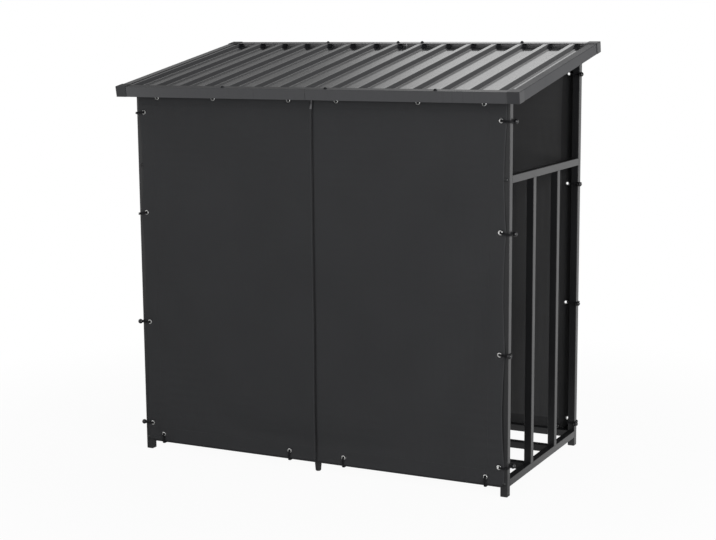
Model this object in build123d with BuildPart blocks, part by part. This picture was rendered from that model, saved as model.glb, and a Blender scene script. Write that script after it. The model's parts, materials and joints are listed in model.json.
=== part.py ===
"""Log store: a square-tube frame with open ends, a ribbed lean-to roof and laced cloth covers.

Millimetres, +Z up. The origin is on the ground under the middle of the roof. +X runs along the
store, and +Y runs from the low eave, with the zipped cover, to the high eave.
"""
import math
import os

from build123d import *

os.makedirs("parts", exist_ok=True)

# Frame of square tube
frame_length = 1400.0
frame_depth = 700.0
tube = 25.0
tube_wall = 1.0
tube_radius = 2.0
base_height = 56.0
rail_height = 1047.0
bar_spacing = 236.0
tie_room = 3.5

# Plugs in the posts and round feet under the middle
plug_flange = 5.0
plug_chamfer = 1.5
plug_stem = 18.0
plug_clearance = 0.3
foot_top = 24.0
foot_bottom = 19.0
foot_chamfer = 2.0

# Roof sheets, with ribs that run down the slope
roof_length = 1500.0
roof_run = 818.0
roof_slope = 10.0
eave_height = 1309.0
rib_pitch = 98.0
rib_shift = 21.0
crest_width = 18.0
web_run = 8.0
rib_height = 12.5
bend_radius = 2.5
sheet_thickness = 0.6
sheet_setback = 8.0
sheet_side_setback = 12.0

# Angle trims round the roof, and the caps on their corners
trim_height = 36.0
trim_flange = 30.0
trim_thickness = 1.0
trim_rounding = 1.8
trim_joint = 1.0
cap_leg = 40.0
cap_wall = 1.5
cap_rounding = 2.5

# Covers, each a sheet with a hem folded to its inner face
cover_thickness = 1.0
hem_thickness = 1.0
side_hem = 58.0
end_hem = 55.0
cover_side_margin = 20.0
cover_end_margin = 26.0
cover_scallop = 8.0
eyelet_bore = 10.0
side_eyelet_shares = (0.050, 0.345, 0.658, 0.938)

# Zip down the middle of the front cover
zip_width = 7.0
zip_thickness = 1.6
zip_end_share = 0.03
teeth_width = 4.4
teeth_height = 1.2
slider_length = 16.0
slider_width = 6.4
slider_height = 3.5
slider_drop = 24.0
pull_length = 22.0
pull_width = 6.0
pull_thickness = 1.5

# Frame places
bore = tube - 2 * tube_wall
post_x = (frame_length - tube) / 2
post_y = (frame_depth - tube) / 2
clear_length = frame_length - 2 * tube
clear_depth = frame_depth - 2 * tube
base_middle = base_height - tube / 2

# Roof places: u runs along the store, v up the slope, and w stands on the crests of the ribs
slope_sin = math.sin(math.radians(roof_slope))
slope_cos = math.cos(math.radians(roof_slope))
trim_top = sheet_thickness + trim_thickness
trim_bottom = trim_top - trim_height
cap_top = trim_top + cap_wall
tray_length = roof_length - 2 * cap_wall
tray_run = roof_run - 2 * cap_wall
seat_drop = rib_height + sheet_thickness
roof_middle_y = (cap_top + trim_bottom) * slope_sin / 2
roof_middle_z = eave_height + roof_run * slope_sin / 2
roof_plane = Plane(
    origin=(0, roof_middle_y, roof_middle_z), x_dir=(1, 0, 0), z_dir=(0, -slope_sin, slope_cos)
)
along = roof_plane.x_dir
upslope = roof_plane.y_dir
seat_plane = roof_plane.offset(-seat_drop)


def on_roof(u, v, w):
    """The point of the store that lies at u, v, w on the roof."""
    return roof_plane.from_local_coords(Vector(u, v, w))


def seat_height(y):
    """Height of the underside of the roof sheets above the line at y."""
    return roof_middle_z + ((y - roof_middle_y) * slope_sin - seat_drop) / slope_cos


def keep(piece, name):
    """Label a finished piece and write it to its own file."""
    piece.label = name
    export_step(piece, f"parts/{name}.step")


def along_x(x, y, z):
    """Plane of a section that is drawn out along the store."""
    return Plane(origin=(x, y, z), x_dir=(0, 1, 0), z_dir=(1, 0, 0))


def along_y(x, y, z):
    """Plane of a section that is drawn out across the store."""
    return Plane(origin=(x, y, z), x_dir=(1, 0, 0), z_dir=(0, 1, 0))


def square_tube(plane, length, *cuts):
    """A length of the frame's tube, cut back to the near side of each plane in cuts."""
    with BuildPart() as piece:
        with BuildSketch(plane):
            RectangleRounded(tube, tube, tube_radius)
            Rectangle(bore, bore, mode=Mode.SUBTRACT)
        extrude(amount=length)
        for cut in cuts:
            split(bisect_by=cut, keep=Keep.BOTTOM)
    return piece.part


ENDS = (("left", -1), ("right", 1))
SIDES = (("front", -1), ("rear", 1))

# Corner posts, cut to the slope of the roof at their tops
post_reach = seat_height(frame_depth / 2) - plug_flange
for end, end_sign in ENDS:
    for side, side_sign in SIDES:
        foot = Plane(origin=(end_sign * post_x, side_sign * post_y, plug_flange))
        keep(square_tube(foot, post_reach, seat_plane), f"{side}_{end}_post")

# Base frame: long rails, end rails and a cross rail between them
for side, side_sign in SIDES:
    start = along_x(-clear_length / 2, side_sign * post_y, base_middle)
    keep(square_tube(start, clear_length), f"{side}_base_rail")
for end, end_sign in ENDS:
    start = along_y(end_sign * post_x, -clear_depth / 2, base_middle)
    keep(square_tube(start, clear_depth), f"{end}_base_rail")
start = along_y(0, -clear_depth / 2, base_middle)
keep(square_tube(start, clear_depth), "middle_base_rail")

# Floor bars that carry the logs, from the end rails to the cross rail
floor_bar_length = (clear_length - tube) / 2
for side, side_sign in SIDES:
    bar_y = side_sign * bar_spacing / 2
    start = along_x(-clear_length / 2, bar_y, base_middle)
    keep(square_tube(start, floor_bar_length), f"{side}_left_floor_bar")
    start = along_x(tube / 2, bar_y, base_middle)
    keep(square_tube(start, floor_bar_length), f"{side}_right_floor_bar")

# Open ends: a rail between the posts, on two upright bars
bar_length = rail_height - tube - base_height
for end, end_sign in ENDS:
    start = along_y(end_sign * post_x, -clear_depth / 2, rail_height - tube / 2)
    keep(square_tube(start, clear_depth), f"{end}_end_rail")
    for side, side_sign in SIDES:
        foot = Plane(origin=(end_sign * post_x, side_sign * bar_spacing / 2, base_height))
        keep(square_tube(foot, bar_length), f"{side}_{end}_bar")

# Top rails, with room for the ties between them and the roof sheets
top_rail_tops = {
    "front": seat_height(-frame_depth / 2) - tie_room,
    "rear": seat_height(clear_depth / 2) - tie_room,
}
for side, side_sign in SIDES:
    start = along_x(-clear_length / 2, side_sign * post_y, top_rail_tops[side] - tube / 2)
    keep(square_tube(start, clear_length), f"{side}_top_rail")

# Rafters under the sheets, from front to rear
front_cut = Plane(origin=(0, -clear_depth / 2, 0), z_dir=(0, -1, 0))
rear_cut = Plane(origin=(0, clear_depth / 2, 0), z_dir=(0, 1, 0))
rafter_run = frame_depth / slope_cos
for name, x in (("left", -post_x), ("middle", 0), ("right", post_x)):
    start = on_roof(x, -rafter_run / 2, -seat_drop - tube / 2)
    section = Plane(origin=start, x_dir=along, z_dir=upslope)
    keep(square_tube(section, rafter_run, front_cut, rear_cut), f"{name}_rafter")

# Plugs with a square stem in the foot of each post
stem = bore - 2 * plug_clearance
with BuildPart() as plugs:
    with GridLocations(2 * post_x, 2 * post_y, 2, 2):
        Box(tube, tube, plug_flange, align=(Align.CENTER, Align.CENTER, Align.MIN))
    fillet(plugs.edges().filter_by(Axis.Z), tube_radius)
    chamfer(plugs.faces().filter_by(Axis.Z).group_by(Axis.Z)[0].edges(), plug_chamfer)
    with BuildSketch(Plane.XY.offset(plug_flange)):
        with GridLocations(2 * post_x, 2 * post_y, 2, 2):
            Rectangle(stem, stem)
    extrude(amount=plug_stem)
keep(plugs.part, "post_plugs")

# Round feet, tapered, under the middles of the long base rails
foot_height = base_height - tube
with BuildPart() as feet:
    with GridLocations(0, 2 * post_y, 1, 2):
        Cone(
            foot_bottom / 2,
            foot_top / 2,
            foot_height,
            align=(Align.CENTER, Align.CENTER, Align.MIN),
        )
    chamfer(feet.edges().group_by(Axis.Z)[0], foot_chamfer)
keep(feet.part, "middle_feet")


def rib_line(drop, inset):
    """Points of the ribbed surface, at a drop below its crests, out past both ends of the roof."""
    reach = math.ceil(tray_length / rib_pitch)
    points = []
    for index in range(-reach, reach):
        middle = rib_shift + (index + 0.5) * rib_pitch
        for hand in (-1, 1):
            crest = (middle + hand * (crest_width / 2 - inset), -drop)
            web_foot = (crest[0] + hand * web_run, -rib_height - drop)
            points += [web_foot, crest] if hand < 0 else [crest, web_foot]
    return points


def clipped(line, start, end):
    """The part of a surface line between two places along the store."""
    part = [point for point in line if start < point[0] < end]
    for place, where in ((start, 0), (end, len(part) + 1)):
        after = next(index for index, point in enumerate(line) if point[0] >= place)
        (x0, height0), (x1, height1) = line[after - 1], line[after]
        height = height0 + (height1 - height0) * (place - x0) / (x1 - x0)
        part.insert(where, (place, height))
    return part


def roof_sheet(upper, lower):
    """A sheet between two surface lines with rounded bends, drawn out down the slope."""
    sheet_run = tray_run - 2 * sheet_setback
    section = Plane(origin=on_roof(0, sheet_run / 2, 0), x_dir=along, z_dir=-upslope)
    with BuildPart() as sheet:
        with BuildSketch(section):
            with BuildLine():
                FilletPolyline(*upper, radius=bend_radius)
                FilletPolyline(*lower, radius=bend_radius)
                Line(upper[0], lower[0])
                Line(upper[-1], lower[-1])
            make_face()
        extrude(amount=sheet_run)
    return sheet.part


# Two roof sheets: the right one laps over half a crest of the left one
web_angle = math.atan2(rib_height, web_run)
corner_inset = sheet_thickness * math.tan(web_angle / 2)
sheet_edge = tray_length / 2 - sheet_side_setback
upper_line = rib_line(0, 0)
lower_line = rib_line(sheet_thickness, corner_inset)
lap = rib_shift - rib_pitch / 2
left_upper = clipped(upper_line, -sheet_edge, lap)
left_lower = clipped(lower_line, -sheet_edge, lap)
keep(roof_sheet(left_upper, left_lower), "left_roof_sheet")

lap_left = lap - crest_width / 2
lap_right = lap + crest_width / 2
lap_upper = [
    (lap_left, sheet_thickness),
    (lap_right, sheet_thickness),
    (lap_right + web_run, -rib_height),
]
lap_lower = [
    (lap_left, 0),
    (lap_right - corner_inset, 0),
    (lap_right + web_run - corner_inset, -seat_drop),
]
lap_end = lap_right + web_run + corner_inset
right_upper = lap_upper + clipped(upper_line, lap_end, sheet_edge)[1:]
right_lower = lap_lower + clipped(lower_line, lap_end, sheet_edge)[1:]
keep(roof_sheet(right_upper, right_lower), "right_roof_sheet")


def mitre(u_sign, v_sign, facing):
    """Plane at 45 degrees through a corner of the roof, facing away from the trim it cuts."""
    corner = on_roof(u_sign * tray_length / 2, v_sign * tray_run / 2, 0)
    return Plane(origin=corner, z_dir=(along * u_sign - upslope * v_sign) * facing)


def angle_trim(start, inward, length, *cuts):
    """A length of angle with its outer top corner at start, cut at the planes in cuts."""
    section = Plane(origin=start, x_dir=inward, z_dir=inward.cross(roof_plane.z_dir))
    with BuildPart() as trim:
        with BuildSketch(section):
            with BuildLine():
                FilletPolyline((trim_flange, 0), (0, 0), (0, -trim_height), radius=trim_rounding)
                FilletPolyline(
                    (trim_flange, -trim_thickness),
                    (trim_thickness, -trim_thickness),
                    (trim_thickness, -trim_height),
                    radius=trim_rounding - trim_thickness,
                )
                Line((trim_flange, 0), (trim_flange, -trim_thickness))
                Line((0, -trim_height), (trim_thickness, -trim_height))
            make_face()
        extrude(amount=length)
        for cut in cuts:
            split(bisect_by=cut, keep=Keep.BOTTOM)
    return trim.part


# Eave trims in two halves, mitred at the corners of the roof
half_trim = (tray_length - trim_joint) / 2
for side, v_sign in SIDES:
    inward = upslope * -v_sign
    for end, u_sign in ENDS:
        outer_first = u_sign == v_sign
        u_start = u_sign * (tray_length if outer_first else trim_joint) / 2
        start = on_roof(u_start, v_sign * tray_run / 2, trim_top)
        keep(angle_trim(start, inward, half_trim, mitre(u_sign, v_sign, 1)), f"{side}_{end}_trim")

# Verge trims on the two sloping edges
for end, u_sign in ENDS:
    start = on_roof(u_sign * tray_length / 2, -u_sign * tray_run / 2, trim_top)
    cuts = [mitre(u_sign, -1, -1), mitre(u_sign, 1, -1)]
    keep(angle_trim(start, along * -u_sign, tray_run, *cuts), f"{end}_verge_trim")

# Caps over the four corners of the trims
cap_size = cap_leg + cap_wall
cap_height = trim_height + cap_wall
cap_corners = (
    (-1, -1, along),
    (1, -1, upslope),
    (1, 1, along * -1),
    (-1, 1, upslope * -1),
)
caps = []
for u_sign, v_sign, leg in cap_corners:
    outer = Plane(
        origin=on_roof(u_sign * roof_length / 2, v_sign * roof_run / 2, cap_top),
        x_dir=leg,
        z_dir=roof_plane.z_dir,
    )
    inner = Plane(
        origin=on_roof(u_sign * tray_length / 2, v_sign * tray_run / 2, trim_top),
        x_dir=leg,
        z_dir=roof_plane.z_dir,
    )
    with BuildPart() as cap:
        with BuildSketch(outer):
            Rectangle(cap_size, cap_size, align=(Align.MIN, Align.MIN))
        extrude(amount=-cap_height)
        outside = cap.edges().sort_by_distance(outer.origin)[:3]
        fillet(outside, cap_rounding)
        with BuildSketch(inner):
            Rectangle(cap_leg, cap_leg, align=(Align.MIN, Align.MIN))
        extrude(amount=-trim_height, mode=Mode.SUBTRACT)
    caps.append(cap.part)
keep(Compound(children=caps), "roof_corner_caps")


def cover_outline(plane, low, high, scallops):
    """Outline of a cover between two corners, with a bay between ties on each side in scallops."""
    ties = [low[1] + share * (high[1] - low[1]) for share in side_eyelet_shares]
    with BuildSketch(plane) as outline:
        with BuildLine():
            Line(low, (high[0], low[1]))
            Line(high, (low[0], high[1]))
            for x, hand in ((low[0], -1), (high[0], 1)):
                if hand not in scallops:
                    Line((x, low[1]), (x, high[1]))
                    continue
                Line((x, low[1]), (x, ties[0]))
                for lower, upper in zip(ties, ties[1:]):
                    bay = (x - hand * cover_scallop, (lower + upper) / 2)
                    ThreePointArc((x, lower), bay, (x, upper))
                Line((x, ties[-1]), (x, high[1]))
        make_face()
    return outline.sketch


def cover(wall, low, high, scallops):
    """A cover whose hem lies on the wall plane, with its sheet outside the hem."""
    with BuildPart() as sheet:
        extrude(cover_outline(wall, low, high, scallops), amount=hem_thickness)
        with BuildSketch(wall):
            with Locations(((low[0] + high[0]) / 2, (low[1] + high[1]) / 2)):
                Rectangle(high[0] - low[0] - 2 * side_hem, high[1] - low[1] - 2 * end_hem)
        extrude(amount=hem_thickness, mode=Mode.SUBTRACT)
        outer_layer = cover_outline(wall.offset(hem_thickness), low, high, scallops)
        extrude(outer_layer, amount=cover_thickness)
    return sheet.part


# Covers, laced to the posts and rails through eyelets at their edges
cover_reach = clear_length / 2 - eyelet_bore / 2 + cover_side_margin
cover_foot = base_height + eyelet_bore / 2 - cover_end_margin
cover_heads = {
    side: top_rail_tops[side] - tube - eyelet_bore / 2 + cover_end_margin for side, _ in SIDES
}
front_wall = Plane(origin=(0, -frame_depth / 2, 0), x_dir=(1, 0, 0), z_dir=(0, -1, 0))
rear_wall = Plane(origin=(0, frame_depth / 2, 0), x_dir=(-1, 0, 0), z_dir=(0, 1, 0))
front_head = cover_heads["front"]
half_zip = zip_width / 2
left_panel = cover(front_wall, (-cover_reach, cover_foot), (-half_zip, front_head), (-1,))
keep(left_panel, "front_left_cover")
right_panel = cover(front_wall, (half_zip, cover_foot), (cover_reach, front_head), (1,))
keep(right_panel, "front_right_cover")
rear_panel = cover(
    rear_wall, (-cover_reach, cover_foot), (cover_reach, cover_heads["rear"]), (-1, 1)
)
keep(rear_panel, "rear_cover")

# Zip between the two panels: tape, teeth, slider and pull
zip_face = front_wall.offset(zip_thickness)
zip_length = front_head - cover_foot
teeth_foot = cover_foot + zip_end_share * zip_length
slider_top = front_head - slider_drop
teeth_face = zip_face.offset(teeth_height)
with BuildPart() as zip_strip:
    with BuildSketch(front_wall):
        with Locations((0, cover_foot)):
            Rectangle(zip_width, zip_length, align=(Align.CENTER, Align.MIN))
    extrude(amount=zip_thickness)
    with BuildSketch(zip_face):
        with Locations((0, teeth_foot)):
            Rectangle(teeth_width, slider_top - teeth_foot, align=(Align.CENTER, Align.MIN))
    extrude(amount=teeth_height)
    with BuildSketch(zip_face):
        with Locations((0, slider_top)):
            Rectangle(slider_width, slider_length, align=(Align.CENTER, Align.MAX))
    extrude(amount=slider_height)
    with BuildSketch(teeth_face):
        with Locations((0, slider_top - slider_length)):
            RectangleRounded(
                pull_width, pull_length, pull_width / 3, align=(Align.CENTER, Align.MAX)
            )
    extrude(amount=pull_thickness)
keep(zip_strip.part, "front_zip")
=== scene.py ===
"""Finish of the log store: cloth covers, fittings, paint and stage round its CAD frame.

Metres, +Z up, in the frame of the packed model. The front is the low side, towards -Y.
"""
import json
import math

import bmesh
import bpy
import numpy as np
from bpy.props import FloatProperty, FloatVectorProperty, IntProperty, PointerProperty
from mathutils import Matrix, Vector


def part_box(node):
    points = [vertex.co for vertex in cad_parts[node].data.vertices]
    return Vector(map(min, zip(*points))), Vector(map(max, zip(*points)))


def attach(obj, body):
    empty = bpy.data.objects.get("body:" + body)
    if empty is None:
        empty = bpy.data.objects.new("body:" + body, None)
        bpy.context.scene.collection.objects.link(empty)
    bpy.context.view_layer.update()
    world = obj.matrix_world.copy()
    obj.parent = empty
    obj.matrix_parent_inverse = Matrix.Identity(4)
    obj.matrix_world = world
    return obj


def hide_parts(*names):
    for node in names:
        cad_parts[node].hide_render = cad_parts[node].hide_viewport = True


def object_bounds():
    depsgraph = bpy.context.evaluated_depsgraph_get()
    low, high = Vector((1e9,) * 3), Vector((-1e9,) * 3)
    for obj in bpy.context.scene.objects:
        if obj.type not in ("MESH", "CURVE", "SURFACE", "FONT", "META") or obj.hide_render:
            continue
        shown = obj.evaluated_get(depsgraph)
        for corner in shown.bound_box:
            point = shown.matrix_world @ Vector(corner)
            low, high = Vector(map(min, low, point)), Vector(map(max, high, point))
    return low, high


bl_info = {
    "name": "Log store finish",
    "version": (1, 0, 0),
    "blender": (4, 5, 0),
    "location": "View3D > Sidebar > Log store",
    "description": "Covers, fittings, finishes and stage round the CAD frame of a log store",
    "category": "Object",
}

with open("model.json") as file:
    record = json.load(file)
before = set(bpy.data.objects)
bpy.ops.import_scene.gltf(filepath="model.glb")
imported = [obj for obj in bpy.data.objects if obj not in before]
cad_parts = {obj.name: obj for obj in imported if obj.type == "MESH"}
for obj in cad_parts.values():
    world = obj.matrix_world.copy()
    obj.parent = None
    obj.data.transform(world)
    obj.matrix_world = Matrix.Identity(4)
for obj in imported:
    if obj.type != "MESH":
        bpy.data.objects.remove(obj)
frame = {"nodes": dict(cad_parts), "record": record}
CAD_BOX = [list(corner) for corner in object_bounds()]
BODY = "root"
MM = 0.001

# The covers by side and the finishes by name, filled in as the steps make them
COVERS = {}
FINISHES = {}

# Trims with a finish of their own, which isn't the one that the record gives them
TRIM_FINISHES = {
    # The front trims carry a painted sheen on their tops
    "front_left_trim": "eave_paint_painted_sheen",
    "front_right_trim": "eave_paint_painted_sheen",
    # The rear trims' backing coat is made pale to stand in for light: partly painted light
    "rear_left_trim": "backed_paint_and_painted_light",
    "rear_right_trim": "backed_paint_and_painted_light",
    "right_verge_trim": "trim_paint",
}

# How close points are welded, how clear of the tubes the cloth lies and how deep a fitting is sunk
WELD = 0.001 * MM
CLEARANCE = 0.1 * MM
SUNK = 0.2 * MM

# An edge that turns more than this stays sharp
SHARP_ANGLE = math.radians(40)

# From thread to thread in the cloth's weave and in the cord's braid
WEAVE_PITCH = 1.3 * MM
BRAID_PITCH = 1.1 * MM

# Rings of a stitch or tooth: the place as a share of its length, and the share of its width there
GRAIN_RINGS = ((-0.5, 0.35), (-0.32, 1.0), (0.32, 1.0), (0.5, 0.35))

# Metres from the tubes at which the cloth is quite free of them
FREE_RUN = 0.12

# How the cloth behaves while it hangs
CLOTH_SETTINGS = {
    "quality": 8,
    "mass": 0.02,
    "tension_stiffness": 160,
    "compression_stiffness": 160,
    "shear_stiffness": 80,
    "bending_stiffness": 3,
    "air_damping": 4,
}

# Where each shade of the studio starts and ends, as parts of a unit direction
STUDIO_EDGES = {
    "left": (-0.06, 0.06),
    "behind": (0.1, 0.4),
    "overhead_right": (-0.15, 0.15),
    "overhead": (0.15, 0.35),
    "front": (-0.5, -0.2),
    "low_head": (-0.12, -0.03),
    "low_foot": (-0.31, -0.26),
    "left_card": (-0.62, -0.54),
    "right_card": (0.1, 0.3),
    "right_card_head": (-0.16, -0.06),
}
STUDIO_TURN = math.radians(-27)


def length(name, description, millimetres):
    """A length that a user may change, given in millimetres."""
    return FloatProperty(
        name=name, description=description, default=millimetres * MM, unit="LENGTH", precision=5
    )


def share(name, description, default):
    """A share of some size, from 0 to 1."""
    return FloatProperty(
        name=name, description=description, default=default, min=0, max=1, subtype="FACTOR"
    )


def angle(name, description, degrees):
    """An angle that a user may change, given in degrees."""
    return FloatProperty(
        name=name, description=description, default=math.radians(degrees), subtype="ANGLE"
    )


def colour(name, description, red, green, blue):
    """A linear colour."""
    return FloatVectorProperty(
        name=name, description=description, default=(red, green, blue), subtype="COLOR", size=3
    )


def shares(name, description, *values):
    """Several shares of one size."""
    return FloatVectorProperty(name=name, description=description, default=values, size=len(values))


def lengths(name, description, *millimetres):
    """Several lengths, given in millimetres."""
    return FloatVectorProperty(
        name=name,
        description=description,
        default=[value * MM for value in millimetres],
        size=len(millimetres),
        unit="LENGTH",
    )


def spot(name, description, *metres):
    """A place in the scene."""
    return FloatVectorProperty(
        name=name, description=description, default=metres, subtype="TRANSLATION", size=3
    )


def watts(name, description, default):
    """The power of a lamp."""
    return FloatProperty(name=name, description=description, default=default, unit="POWER")


class CoverSizes(bpy.types.PropertyGroup):
    """Sizes of the cloth covers."""

    thickness: length("Cloth", "Thickness of one layer of cloth", 0.9)
    hem_thickness: length("Hem", "Thickness of the folded hem", 1.8)
    side_hem: length("Side hem", "Width of the hem along the posts", 58)
    end_hem: length("End hem", "Width of the hem along the rails", 55)
    grid_step: length("Grid", "Longest step of the grid that hangs", 16)
    scallop: length("Scallop", "Depth of the edge between two ties", 8)
    scallop_fade: length("Scallop fade", "How far in from the edge the scallop is felt", 160)
    slack: share("Slack", "Spare cloth between the ties", 0.0003)
    billow: length("Billow", "Unevenness of the cloth before it hangs", 1.2)
    give: length("Give", "How far the cloth may sink between the tubes", 6)
    front_shares: shares(
        "Front side eyelets", "Heights of the front cover's side eyelets", 0.050, 0.345, 0.658, 0.938
    )
    rear_shares: shares(
        "Rear side eyelets", "Heights of the rear cover's side eyelets", 0.044, 0.354, 0.665, 0.945
    )
    top_shares: shares("Top eyelets", "Places along half the top edge", 0.130, 0.558, 0.888)
    bottom_shares: shares("Bottom eyelets", "Places along half the bottom edge", 0.152, 0.904)
    hang_frames: IntProperty(name="Frames", description="Frames of cloth simulation", default=24)


class StitchSizes(bpy.types.PropertyGroup):
    """Sizes of the stitching."""

    pitch: length("Pitch", "From one stitch to the next", 5.0)
    run: length("Length", "Length of a stitch", 3.6)
    thread: length("Thread", "Thickness of the thread", 0.7)
    inset: length("Inset", "From a hem's edge to its stitching", 4)
    zip_inset: length("Zip inset", "From the zip's edge to its stitching", 7)


class ZipSizes(bpy.types.PropertyGroup):
    """Sizes of the zip."""

    tape: length("Tape", "Width of tape that shows", -2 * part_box("front_left_cover")[1].x / MM)
    end_share: share("Zip end", "Share of the cover below the teeth", 0.03)
    sink: length("Sink", "How far the tape lies behind the cloth", 0.5)
    tape_thickness: length("Tape thickness", "Thickness of the woven tape", 0.7)
    tooth_pitch: length("Tooth pitch", "From one tooth to the next on one side", 2.8)
    tooth_length: length("Tooth length", "Length of a tooth across the zip", 3.6)
    tooth_width: length("Tooth width", "Thickness of a tooth along the zip", 1.5)
    tooth_lift: length("Tooth lift", "Height of the teeth's middles over the tape", 0.6)
    slider_drop: length("Slider drop", "From the head of the cover to the slider", 24)
    slider_length: length("Slider length", "Length of the slider's body", 16)
    slider_width: length("Slider width", "Width of the slider's body at its top", 6.4)
    slider_height: length("Slider height", "Height of the slider over the tape", 3.2)
    slider_edge: length("Slider edge", "Rounding of the slider's edges", 0.4)
    bridge_rise: length("Bridge rise", "Height of the bridge over the slider", 2.2)
    bridge_bend: length("Bridge bend", "Radius of the bridge's bends", 1.2)
    bridge_wire: length("Bridge wire", "Thickness of the bridge", 1.4)
    pull_length: length("Pull length", "Length of the pull", 21)
    pull_width: length("Pull width", "Width of the pull", 9)
    pull_thickness: length("Pull thickness", "Thickness of the pull", 1.3)
    pull_edge: length("Pull edge", "Rounding of the pull's edges", 0.35)
    pull_lift: length("Pull lift", "Height of the pull's head over the slider", 1.2)
    pull_rise: length("Pull rise", "From the bridge's lower corner up to the pull's head", 3)
    pull_swing: angle("Pull swing", "How far the pull hangs out of plumb", 10)
    pull_lean: angle("Pull lean", "How far the pull's foot leans in to the teeth", 4)
    slot_head: length("Slot head", "From the pull's head to the head of its slot", 1.6)
    slot_foot: length("Slot foot", "From the pull's head to the foot of its slot", 5)


class FittingSizes(bpy.types.PropertyGroup):
    """Sizes of the eyelets, ties, bolts and screws."""

    place_bore: length("Eyelet place", "Bore that sets the eyelets clear of the tubes", 10)
    rear_insets: lengths("Rear insets", "How much farther in the rear side eyelets are", 4, 18, 18, 18)
    eyelet: length("Eyelet", "Outside diameter of an eyelet", 15.5)
    eyelet_bore: length("Eyelet bore", "Clear bore of an eyelet", 9)
    eyelet_crown: length("Eyelet crown", "Height of an eyelet over the cloth", 1.5)
    hole_gap: length("Hole gap", "From an eyelet's bore to the edge of the cloth's hole", 1.2)
    cord: length("Cord", "Diameter of the elastic cord", 4.0)
    cord_bend: length("Cord bend", "Radius of the cord round a corner", 4)
    front_pull: length("Front pull", "How far a front tie is pulled over in its eyelet", 0.8)
    rear_pull: length("Rear pull", "How far a rear tie is pulled over in its eyelet", 2.7)
    ball: length("Ball", "Diameter of a tie's ball", 17)
    left_balls: shares(
        "Left balls", "Places of the balls round the front left post, upward", 0.25, 0.1, 1.0, 1.0
    )
    right_balls: shares(
        "Right balls", "Places of the balls round the front right post, upward", 1.0, 0.05, 1.0, 1.0
    )
    rear_balls: shares(
        "Rear balls", "Places of the balls round the rear posts, upward", 1.0, 1.0, 1.0, 1.0
    )
    front_rises: lengths("Front rises", "How far the front ties rise to their posts", 0, 0, -6, -3)
    rear_rises: lengths("Rear rises", "How far the rear ties rise to their posts", -10, 3, 2, 0)
    bolt: length("Bolt", "Width of a bolt's domed head", 13)
    bolt_crown: length("Bolt crown", "Height of a bolt's head", 4)
    screw: length("Screw", "Width of a roof screw across its flats", 8)
    screw_crown: length("Screw crown", "Height of a roof screw's head", 4.5)
    screw_washer: length("Washer", "Diameter of a roof screw's washer", 14)
    screw_every: IntProperty(name="Screw every", description="Ribs from screw to screw", default=4)
    screw_first: IntProperty(name="First screw", description="First rib that is screwed", default=4)


class FinishColours(bpy.types.PropertyGroup):
    """Colours of the finishes."""

    frame_paint: colour("Frame paint", "Satin powder coat of the tubes", 0.0100, 0.0102, 0.0110)
    roof_paint: colour("Roof paint", "Semi-gloss paint of the roof", 0.020, 0.0206, 0.0235)
    # A lighter colour painted on the up-facing tops of the front trims: painted sheen
    painted_sheen: colour("Dust", "Paint dulled by dust on top of the front trims", 0.060, 0.060, 0.063)
    # A backing coat made pale to stand in for light in the shaded gap under the rear flanges: partly
    # painted light
    trim_backing_and_painted_light: colour("Trim back", "Backing coat inside the rear trims", 0.25, 0.25, 0.255)
    cap_plastic: colour("Cap plastic", "Moulded corner caps", 0.023, 0.0234, 0.0255)
    foot_plastic: colour("Foot plastic", "Moulded plugs and feet", 0.007, 0.007, 0.0075)
    cloth: colour("Cloth", "Outer face of the covers", 0.0225, 0.023, 0.0245)
    # Painted light: the inner face is lighter to stand in for light coming through the cloth
    cloth_back_painted_light: colour("Cloth back", "Inner face of the covers", 0.046, 0.046, 0.047)
    # Painted shade: the hems' inner face is darker, for less light through the doubled cloth
    hem_back_painted_shade: colour("Hem back", "Inner face of the hems", 0.031, 0.031, 0.032)
    thread: colour("Thread", "Stitching", 0.012, 0.012, 0.013)
    zip_teeth: colour("Zip teeth", "Moulded teeth", 0.006, 0.006, 0.007)
    zip_metal: colour("Zip metal", "Slider and pull", 0.14, 0.14, 0.145)
    eyelet_metal: colour("Eyelet metal", "Plated eyelets", 0.74, 0.74, 0.73)
    elastic: colour("Elastic", "Braided cord", 0.005, 0.005, 0.006)
    ball_plastic: colour("Ball plastic", "Glossy balls of the ties", 0.006, 0.006, 0.007)
    screw_metal: colour("Screw metal", "Blackened roof screws", 0.030, 0.031, 0.034)


class StageSettings(bpy.types.PropertyGroup):
    """Camera, lamps and floor."""

    camera_place: spot("Camera place", "Where the camera stands", 2.4089, -4.8422, 1.5333)
    pan: angle("Pan", "Turn of the camera to the left", 26.542)
    tilt: angle("Tilt", "Tilt of the camera below the horizon", 9.270)
    roll: angle("Roll", "Roll of the camera", -0.446)
    lens: FloatProperty(name="Lens", description="Focal length", default=76.96, unit="CAMERA")
    key: watts("Key", "Power of the lamp on the right", 125)
    key_place: spot("Key place", "Where the lamp on the right stands", 3.7, -1.9, 1.7)
    key_size: lengths("Key size", "Width and height of the lamp on the right", 2000, 2400)
    fill: watts("Fill", "Power of the soft lamp in front", 80)
    fill_place: spot("Fill place", "Where the soft lamp in front stands", -0.6, -4.8, 1.3)
    back: watts("Back", "Power of the soft lamp behind", 70)
    back_place: spot("Back place", "Where the soft lamp behind stands", -0.6, 4.8, 1.1)
    soft_size: lengths("Soft size", "Width and height of the soft lamps", 3000, 2200)
    ambient: share("Ambient", "Light from all round", 0.35)
    dark_side: share("Dark side", "Brightness of the studio behind and to the left", 0.25)
    dark_top: share("Dark top", "Brightness of the studio overhead", 0.35)
    dark_front: share("Dark front", "Brightness of the studio low down in front", 0.35)
    left_card: share("Left card", "Extra brightness of the studio in front on the left", 0.8)
    right_card: share("Right card", "Extra brightness low down behind on the right", 0.3)
    floor_reach: length("Floor", "Radius of the floor", 2600)
    floor_grey: colour("Floor grey", "Floor as the lamps light it", 0.55, 0.55, 0.55)
    floor_white: share("Floor white", "How white the floor is to the eye near the store", 0.95)


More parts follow.
